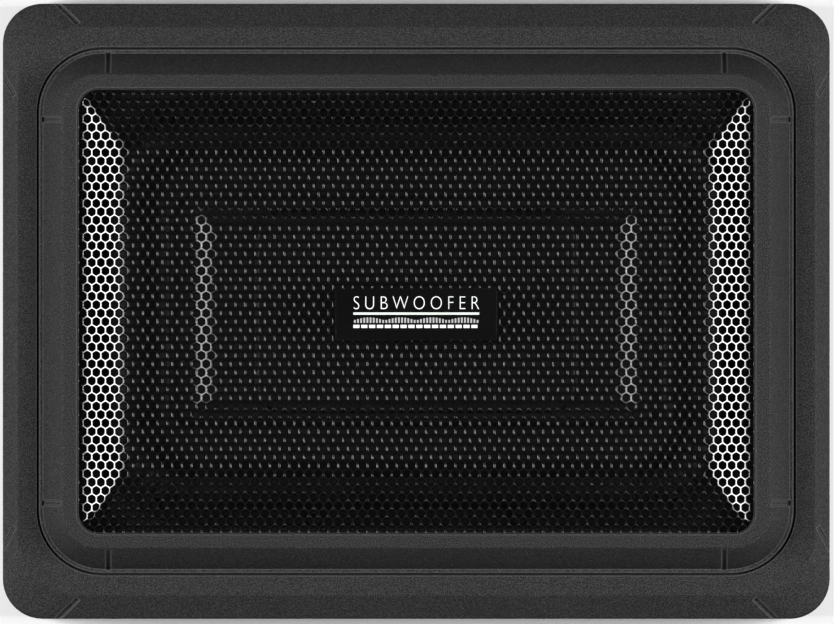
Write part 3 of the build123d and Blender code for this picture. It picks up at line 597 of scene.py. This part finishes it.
def flat_print(name, outlines, top, material, thickness=0.06 * MM):
    """Thin raised print: each outline is a closed list of (x, y) drawn on the badge."""
    points, faces = [], []
    for outline in outlines:
        first, count = len(points), len(outline)
        points += [(x, y, top) for x, y in outline]
        points += [(x, y, top + thickness) for x, y in outline]
        faces.append(tuple(range(first + count, first + 2 * count)))
        faces.append(tuple(reversed(range(first, first + count))))
        for k in range(count):
            n = (k + 1) % count
            faces.append((first + k, first + n, first + count + n, first + count + k))
    piece = new_piece(name, points, faces, material)
    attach(piece, ENCLOSURE)


def bar(x0, x1, y0, y1):
    """Outline of an upright rectangle."""
    return [(x0, y0), (x1, y0), (x1, y1), (x0, y1)]


def mesh_of(curve):
    """Mesh of a text or a curve."""
    holder = add_object(curve.name, curve)
    bpy.context.view_layer.update()
    mesh = bpy.data.meshes.new_from_object(holder)
    bpy.data.objects.remove(holder)
    mesh.materials.clear()
    return mesh


def make_badge_word(centre, top):
    """Generic word in the plain built-in typeface, stretched to the badge's width."""
    font = bpy.data.curves.new("badge_word", "FONT")
    font.body = "SUBWOOFER"
    font.align_x = "CENTER"
    font.size = 7.6 * MM
    font.space_character = 1.5
    font.offset = -0.16 * MM
    font.extrude = 0.03 * MM
    mesh = mesh_of(font)
    width = max(v.co.x for v in mesh.vertices) - min(v.co.x for v in mesh.vertices)
    height = max(v.co.y for v in mesh.vertices)
    stretch = (2 * BADGE_HALF / width, LETTER_HEIGHT / height)
    for vertex in mesh.vertices:
        vertex.co.x = centre.x + vertex.co.x * stretch[0]
        vertex.co.y = centre.y + WORD_FOOT + vertex.co.y * stretch[1]
        vertex.co.z += top + font.extrude
    mesh.materials.append(MATERIALS["badge_print"])
    letters = add_object("badge_word_print", mesh)
    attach(letters, ENCLOSURE)


def make_badge_print():
    """Generic badge: a plain word, a rule, and a row of level ticks and blocks."""
    centre = middle("badge_plate")
    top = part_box("badge_plate")[1].z
    make_badge_word(centre, top)
    left, y = centre.x - BADGE_HALF, centre.y
    rule = [bar(left, centre.x + BADGE_HALF, y + RULE[0], y + RULE[1])]
    flat_print("badge_rule_print", rule, top, "badge_print")
    ticks = []
    step = 2 * BADGE_HALF / TICK_COUNT
    for k in range(TICK_COUNT):
        x = left + step * (k + 0.2)
        tall = (1.0 + 1.2 * abs(math.sin(math.pi * (k + 0.5) / TICK_COUNT * 4.0))) * MM
        ticks.append(bar(x, x + step * 0.55, y + TICK_FOOT, y + TICK_FOOT + tall))
    flat_print("badge_tick_print", ticks, top, "badge_print_grey")
    step = 2 * BADGE_HALF / BLOCK_COUNT
    blocks = [bar(left + step * k, left + step * (k + 0.78), y + BLOCKS[0], y + BLOCKS[1])
              for k in range(BLOCK_COUNT)]
    flat_print("badge_block_print", blocks, top, "badge_print")


# ---------------------------------------------------------------- flexing parts of the woofer
ROLL_HALF = (117.0 * MM, 73.0 * MM)    # centre line of the half roll
ROLL_CORNER = 27.0 * MM
ROLL = 6.5 * MM
SKIN = 1.0 * MM
INNER_LAND, OUTER_LAND = 4.7 * MM, 1.5 * MM    # flat strips beyond the roll's two feet
CORNER_SLICES = 6
SLICE_STEPS = 3
SIDE_STEPS = 8


def roll_profile(steps=18):
    """Closed section of the surround: (distance out from the roll's centre line, height)."""
    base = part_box("surround")[0].z
    outer, inner = [], []
    big, small = ROLL + SKIN / 2, ROLL - SKIN / 2
    for k in range(steps + 1):
        out, up = direction(math.pi * k / steps)
        outer.append((big * out, base + SKIN + big * up))
        inner.append((small * out, base + small * up))
    top = [(ROLL + OUTER_LAND, base + SKIN)] + outer + [(-ROLL - INNER_LAND, base + SKIN)]
    under = [(-ROLL - INNER_LAND, base)] + inner[::-1] + [(ROLL + OUTER_LAND, base)]
    return top + under


def swept_section(name, profile, stations, material):
    """Skin of a closed section carried along stations: each is (point, outward direction)."""
    points, faces = [], []
    count = len(profile)
    for (px, py), (dx, dy) in stations:
        points += [(px + dx * out, py + dy * out, z) for out, z in profile]
    for s in range(len(stations) - 1):
        for k in range(count):
            n = (k + 1) % count
            a, b = s * count, (s + 1) * count
            faces.append((a + k, a + n, b + n, b + k))
    faces.append(tuple(range(count))[::-1])
    last = (len(stations) - 1) * count
    faces.append(tuple(range(last, last + count)))
    return new_piece(name, points, faces, material, smooth=True)


def flex(piece):
    """Bakes the piece's placement into its mesh."""
    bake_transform(piece)


def surround_length(name, stations):
    """One length of the half roll, swept through the stations."""
    piece = swept_section(name, roll_profile(), stations, "surround_rubber")
    flex(piece)
    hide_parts("surround")


def surround_corner(quarter, centre):
    """Slices that carry the roll a quarter turn about the corner's centre."""
    first = math.pi / 2 * quarter
    for part in range(CORNER_SLICES):
        stations = []
        for k in range(SLICE_STEPS + 1):
            way = direction(first + math.pi / 2 * (part + k / SLICE_STEPS) / CORNER_SLICES)
            stations.append(((centre[0] + way[0] * ROLL_CORNER, centre[1] + way[1] * ROLL_CORNER), way))
        way = direction(first + math.pi / 2 * (part + 0.5) / CORNER_SLICES)
        surround_length(f"surround_corner_{quarter}_{part}", stations)


def surround_side(quarter, way, reach, spread):
    """Straight length of the roll at reach along way, running spread to each side."""
    stations = []
    for k in range(SIDE_STEPS + 1):
        offset = spread * (2 * k / SIDE_STEPS - 1)
        stations.append(((way[0] * reach - way[1] * offset, way[1] * reach + way[0] * offset), way))
    surround_length(f"surround_side_{quarter}", stations)


def make_surround():
    """Half roll round the diaphragm: a sliced corner and a straight side for each quarter."""
    straight = (ROLL_HALF[0] - ROLL_CORNER, ROLL_HALF[1] - ROLL_CORNER)
    signs = ((1, 1), (-1, 1), (-1, -1), (1, -1))
    ways = ((1, 0), (0, 1), (-1, 0), (0, -1))
    for quarter, ((sx, sy), way) in enumerate(zip(signs, ways)):
        surround_corner(quarter, (sx * straight[0], sy * straight[1]))
        faces_y = quarter % 2
        surround_side(quarter, way, ROLL_HALF[faces_y], straight[1 - faces_y])


SPIDER_WAVES = 5
WAVE_HEIGHT = 0.9 * MM
CLOTH = 0.4 * MM
SPIDER_SLICES = 12
SPIDER_STEPS = 4               # steps round each slice
SPIDER_RINGS = 50              # steps from the coil to the rim


def make_spider():
    """Corrugated cloth disc, in slices between the coil and the basket."""
    low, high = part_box("spider")
    outer = high.x
    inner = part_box("voice_coil_former")[1].x + 0.1 * MM
    middle_z = (low.z + high.z) / 2
    profile_top, profile_low = [], []
    for k in range(SPIDER_RINGS + 1):
        share = k / SPIDER_RINGS
        radius = inner + (outer - inner) * share
        fade = min(1.0, share * 12, (1 - share) * 10)
        z = middle_z + WAVE_HEIGHT * fade * math.sin(2 * math.pi * SPIDER_WAVES * share)
        profile_top.append((radius, z + CLOTH / 2))
        profile_low.append((radius, z - CLOTH / 2))
    profile = profile_top + profile_low[::-1]
    slice_turn = 2 * math.pi / SPIDER_SLICES
    for part in range(SPIDER_SLICES):
        turns = [slice_turn * (part + k / SPIDER_STEPS) for k in range(SPIDER_STEPS + 1)]
        stations = [((0, 0), direction(turn)) for turn in turns]
        piece = swept_section(f"spider_slice_{part}", profile, stations, "spider_cloth")
        flex(piece)
        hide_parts("spider")


LEAD_RADIUS = 0.55 * MM
# From the terminal strip to the drive cone, in millimetres: (x, z).
LEAD_ROUTE = ((62.2, 34.3), (58.0, 39.0), (52.0, 41.2), (45.0, 41.6), (38.6, 45.6))


def lead_curve(y):
    """Round lead along the route, at one place across it."""
    curve = bpy.data.curves.new("tinsel", "CURVE")
    curve.dimensions = "3D"
    curve.bevel_depth = LEAD_RADIUS
    curve.bevel_resolution = 4
    curve.use_fill_caps = True
    spline = curve.splines.new("NURBS")
    spline.points.add(len(LEAD_ROUTE) - 1)
    for point, (x, z) in zip(spline.points, LEAD_ROUTE):
        point.co = (x * MM, y, z * MM, 1.0)
    spline.order_u = 3
    spline.use_endpoint_u = True
    return curve


def make_tinsel_leads():
    """Two braided leads that loop from the terminal strip to the drive cone."""
    low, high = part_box("tinsel_leads")
    for number, y in enumerate((low.y + LEAD_RADIUS, high.y - LEAD_RADIUS)):
        mesh = mesh_of(lead_curve(y))
        mesh.materials.append(MATERIALS["copper_wire"])
        lead = add_object(f"tinsel_lead_{number}", mesh)
        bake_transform(lead)
        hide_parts("tinsel_leads")


# ---------------------------------------------------------------- end-bay marks
DIAL_TURN = 140                # degrees each way
DIAL_TICKS = 11
TICK_START = 6.1 * MM          # from the shaft
TICK_END, LONG_TICK_END = 6.8 * MM, 7.3 * MM
TICK_HALF = 0.13 * MM
DOT_HALF = 0.35 * MM
DOT_RISE = 3.6 * MM            # above the switch
DOT_OFFSETS = (-0.4 * MM, 3.4 * MM)
INK = 0.05 * MM


def dial_ticks(node):
    """Outlines of the ticks round one rotary control, longer at the ends and the middle."""
    centre = middle(node)
    ticks = []
    for k in range(DIAL_TICKS):
        turn = math.radians(2 * DIAL_TURN * k / (DIAL_TICKS - 1) - DIAL_TURN)
        out = (math.sin(turn), math.cos(turn))
        end = LONG_TICK_END if k % 5 == 0 else TICK_END
        corners = ((TICK_START, -TICK_HALF), (TICK_START, TICK_HALF), (end, TICK_HALF), (end, -TICK_HALF))
        ticks.append([(centre.y + out[0] * r + out[1] * s, centre.z + out[1] * r - out[0] * s)
                      for r, s in corners])
    return ticks


def switch_dots(node):
    """Outlines of the two dots above a slide switch, one for each position."""
    centre = middle(node)
    dots = []
    for offset in DOT_OFFSETS:
        y, z = centre.y + offset, centre.z + DOT_RISE
        dots.append(bar(y - DOT_HALF, y + DOT_HALF, z - DOT_HALF, z + DOT_HALF))
    return dots


def make_dial_marks():
    """Printed arc of ticks round each rotary control, and two dots at each switch."""
    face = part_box("end_panel")[1].x
    outlines = []
    for node in ("level_knob", "lowpass_knob", "bass_boost_knob"):
        outlines += dial_ticks(node)
    for node in ("phase_slider", "mode_slider"):
        outlines += switch_dots(node)
    points, faces = [], []
    for outline in outlines:
        first = len(points)
        points += [(face, y, z) for y, z in outline]
        points += [(face + INK, y, z) for y, z in outline]
        faces.append(tuple(first + 4 + k for k in range(4)))
        faces.append(tuple(first + k for k in reversed(range(4))))
        for k in range(4):
            n = (k + 1) % 4
            faces.append((first + k, first + n, first + 4 + n, first + 4 + k))
    piece = new_piece("panel_marks", points, faces, "badge_print")
    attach(piece, ENCLOSURE)


dress_cad_nodes()
make_camera()
make_studio()
make_floor()
make_grille_mesh()
make_badge_print()
make_surround()
make_spider()
make_tinsel_leads()
make_dial_marks()
